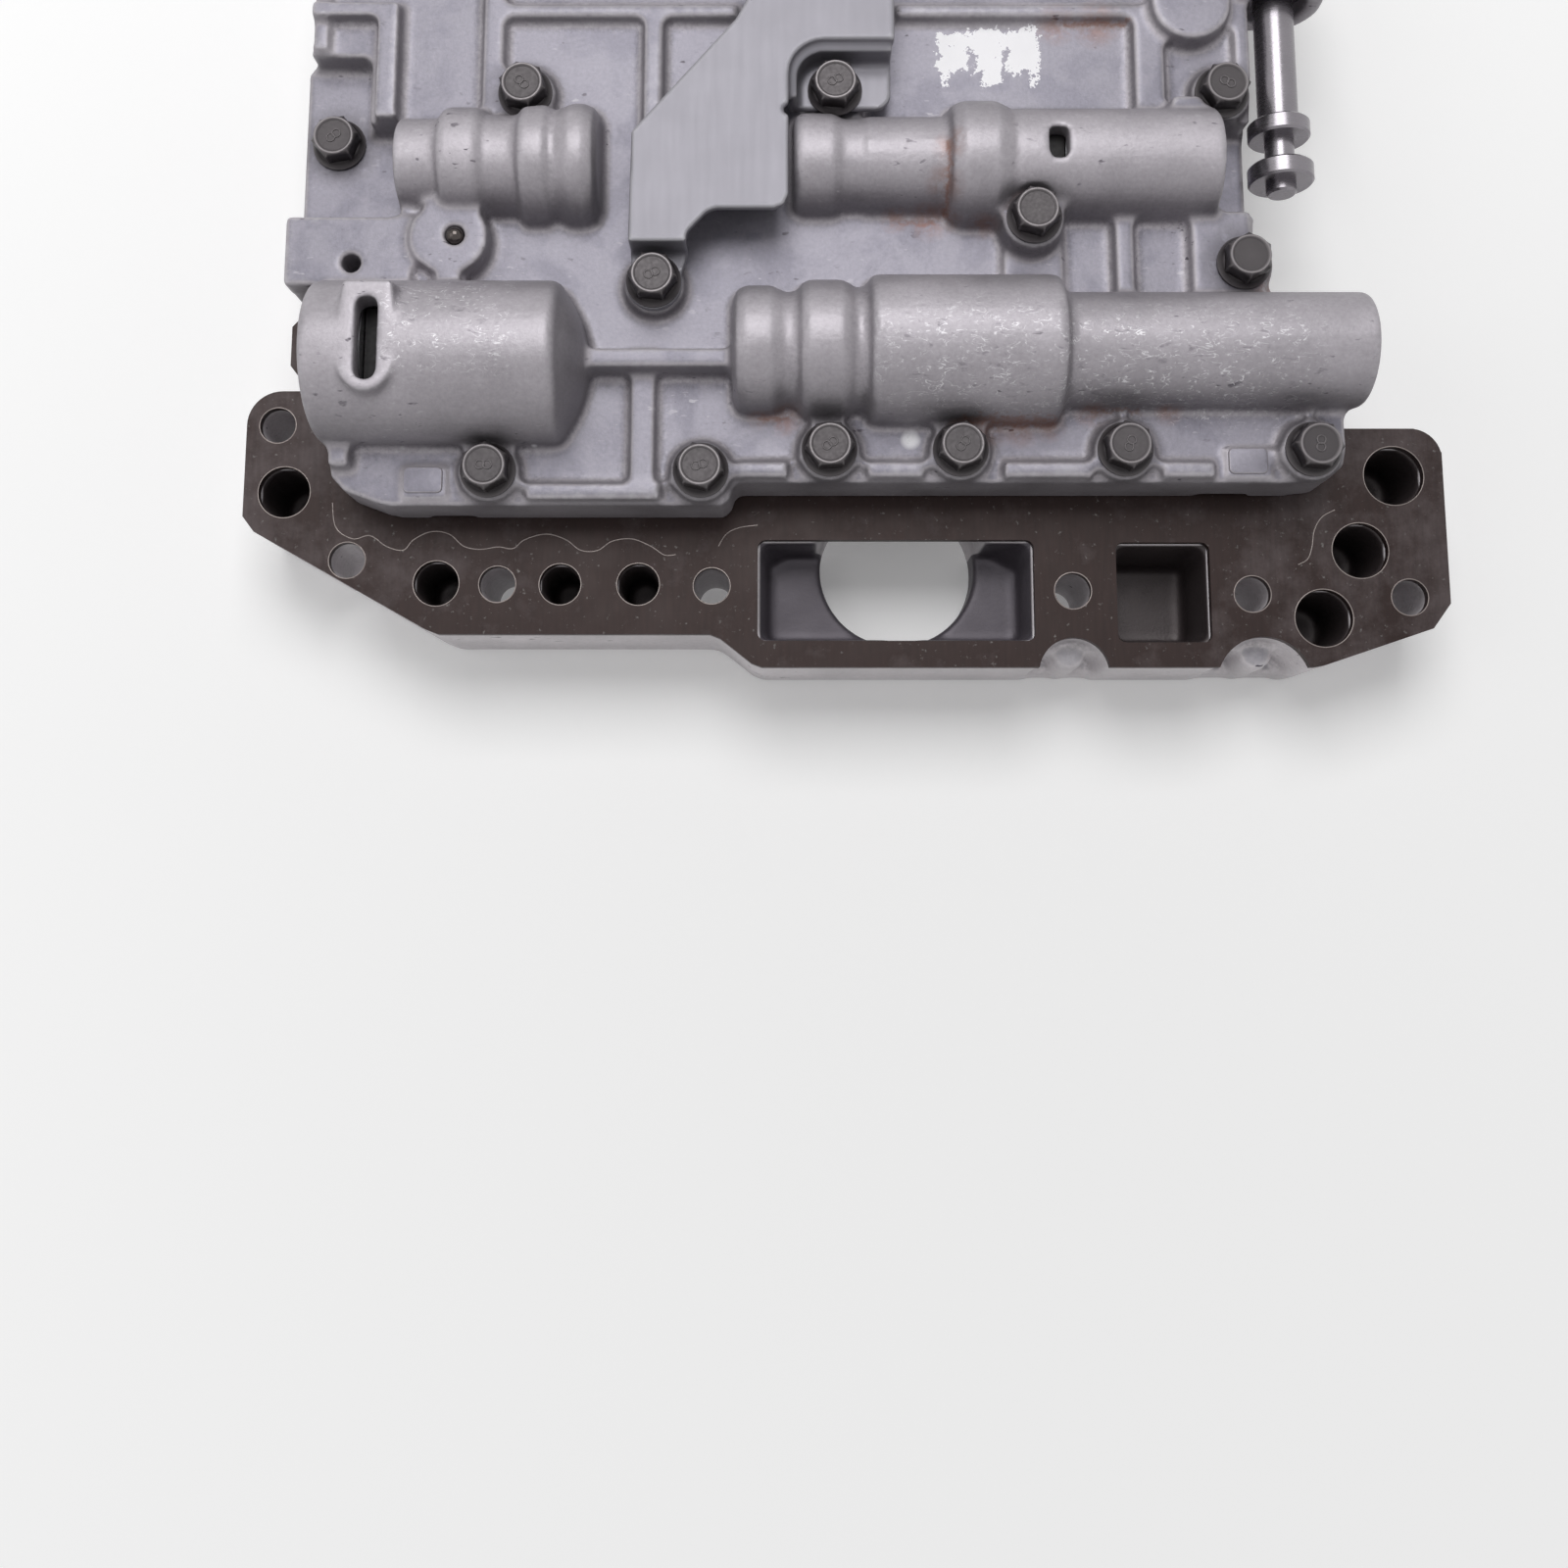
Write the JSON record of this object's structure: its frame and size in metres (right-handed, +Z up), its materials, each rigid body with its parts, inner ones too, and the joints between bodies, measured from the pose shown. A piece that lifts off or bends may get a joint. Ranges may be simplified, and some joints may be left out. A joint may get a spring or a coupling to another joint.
{
  "type": "transmission valve body",
  "caption": "Transmission valve body: two cast aluminium halves bolted over a dark steel separator plate, with stepped valve housings, a stamped bracket and a sliding manual valve.",
  "frame": {"origin": "middle of the underside of the bounding box", "axes": "+X to the right of the picture, +Y away from the viewer, +Z up from the mounting face"},
  "size_m": [0.293, 0.205, 0.066],
  "materials": {
    "cast_aluminium": "grey die-cast skin",
    "plate_steel": "dark oiled steel",
    "bracket_steel": "pale zinc-plated sheet",
    "bolt_steel": "black phosphate with worn edges",
    "polished_steel": "ground and polished",
    "ball_steel": "polished ball",
    "machined_aluminium": "turned",
    "spring_steel": "drawn wire",
    "seal_rubber": "matte"
  },
  "bodies": {
    "base": {"lower_body": "cast_aluminium", "separator_plate": "plate_steel", "upper_body": "cast_aluminium", "bracket": "bracket_steel", "body_bolts": "bolt_steel", "bracket_bolts": "bolt_steel", "ball_plug": "ball_steel", "check_balls": "ball_steel", "dowels": "ball_steel", "relay_spring": "spring_steel", "relay_plug": "machined_aluminium", "relay_ring": "spring_steel", "shift_spring": "spring_steel", "shift_plug": "machined_aluminium", "shift_key": "plate_steel", "acc_spring": "spring_steel", "acc_cover": "machined_aluminium", "acc_key": "plate_steel", "reg_spring": "spring_steel", "reg_sleeve": "machined_aluminium", "reg_plug": "machined_aluminium", "reg_ring": "spring_steel"},
    "manual": {"manual_valve": "polished_steel"},
    "relay": {"relay_spool": "machined_aluminium"},
    "shift": {"shift_spool": "machined_aluminium"},
    "accumulator": {"acc_piston": "machined_aluminium", "acc_seal_front": "seal_rubber", "acc_seal_rear": "seal_rubber"},
    "regulator": {"reg_spool": "machined_aluminium"}
  },
  "joints": [
    {"name": "manual_slide", "type": "slide", "parent": "base", "child": "manual", "axis": [0, 1, 0], "range_m": [-0.006, 0.02]},
    {"name": "relay_slide", "type": "slide", "parent": "base", "child": "relay", "axis": [1, 0, 0], "range_m": [-0.006, 0], "stiffness_N_per_m": 900, "springref_m": 0.002, "deforming": ["relay_spring"]},
    {"name": "shift_slide", "type": "slide", "parent": "base", "child": "shift", "axis": [1, 0, 0], "range_m": [0, 0.007], "stiffness_N_per_m": 900, "springref_m": -0.002, "deforming": ["shift_spring"]},
    {"name": "acc_slide", "type": "slide", "parent": "base", "child": "accumulator", "axis": [1, 0, 0], "range_m": [-0.008, 0], "stiffness_N_per_m": 2500, "springref_m": 0.003, "deforming": ["acc_spring"]},
    {"name": "reg_slide", "type": "slide", "parent": "base", "child": "regulator", "axis": [1, 0, 0], "range_m": [0, 0.006], "stiffness_N_per_m": 2000, "springref_m": -0.003, "deforming": ["reg_spring"]}
  ]
}
